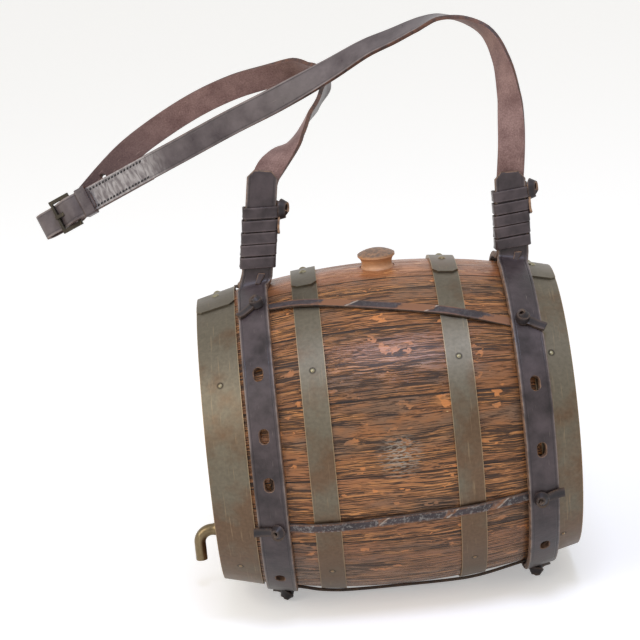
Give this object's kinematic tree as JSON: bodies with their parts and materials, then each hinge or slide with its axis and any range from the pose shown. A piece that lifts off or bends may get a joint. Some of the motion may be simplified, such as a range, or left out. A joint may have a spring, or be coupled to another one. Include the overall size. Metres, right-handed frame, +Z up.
{
  "type": "wooden keg",
  "caption": "Stave keg lying on its side, with a bung on top, a swivel spout low in one head, riveted hoops and a laced leather harness with a buckled shoulder strap.",
  "frame": {"origin": "on the floor, where the keg's worn belly rests, under the middle of the keg", "axes": "+X along the keg away from the spout, -Y towards the front, +Z up through the bung"},
  "size_m": [0.349, 0.2705, 0.3753],
  "materials": {
    "stave_oak": "oiled, heavy open grain",
    "bung_stave_oak": "oiled, smooth",
    "head_oak": "oiled",
    "dowel_beech": "raw",
    "bung_wood": "turned, waxed",
    "hoop_brass": "aged, dull",
    "pin_brass": "worn",
    "tap_brass": "aged, satin",
    "buckle_brass": "aged",
    "screw_steel": "plain",
    "washer_leather": "greased",
    "band_leather": "oiled, smooth grain",
    "strap_leather": "oiled, stitched",
    "lace_leather": "oiled",
    "lashing_leather": "oiled"
  },
  "bodies": {
    "keg": {"buckle_frame": "buckle_brass", "buckle_prong": "buckle_brass", "harness_band_left": "band_leather", "harness_band_right": "band_leather", "head_dowels": "dowel_beech", "head_left_1": "head_oak", "head_left_2": "head_oak", "head_left_3": "head_oak", "head_right_1": "head_oak", "head_right_2": "head_oak", "head_right_3": "head_oak", "hoop_left_end": "hoop_brass", "hoop_left_quarter": "hoop_brass", "hoop_nails": "pin_brass", "hoop_right_end": "hoop_brass", "hoop_right_quarter": "hoop_brass", "hoop_rivets": "pin_brass", "lace_back_lower": "lace_leather", "lace_back_upper": "lace_leather", "lace_bottom": "lace_leather", "lace_front_lower": "lace_leather", "lace_front_upper": "lace_leather", "lashing_left": "lashing_leather", "lashing_right": "lashing_leather", "spout_screw": "screw_steel", "stave_01": "bung_stave_oak", "stave_02": "stave_oak", "stave_03": "stave_oak", "stave_04": "stave_oak", "stave_05": "stave_oak", "stave_06": "stave_oak", "stave_07": "stave_oak", "stave_08": "stave_oak", "stave_09": "stave_oak", "stave_10": "stave_oak", "stave_11": "stave_oak", "stave_12": "stave_oak", "stave_13": "stave_oak", "stave_14": "stave_oak", "strap_billet": "strap_leather", "strap_buckle": "strap_leather", "strap_keeper": "strap_leather", "tap_body": "tap_brass", "tap_nut": "tap_brass", "tap_washer_inside": "washer_leather", "tap_washer_outside": "washer_leather"},
    "spout": {"spout": "tap_brass"},
    "bung": {"bung": "bung_wood"}
  },
  "joints": [
    {"name": "bung_lift", "type": "slide", "parent": "keg", "child": "bung", "axis": [0, 0, 1], "range_m": [0, 0.04]},
    {"name": "spout_turn", "type": "hinge", "parent": "keg", "child": "spout", "pos_m": [-0.1232, 0, 0.0444], "axis": [1, 0, 0], "range_deg": [-90, 90]}
  ]
}
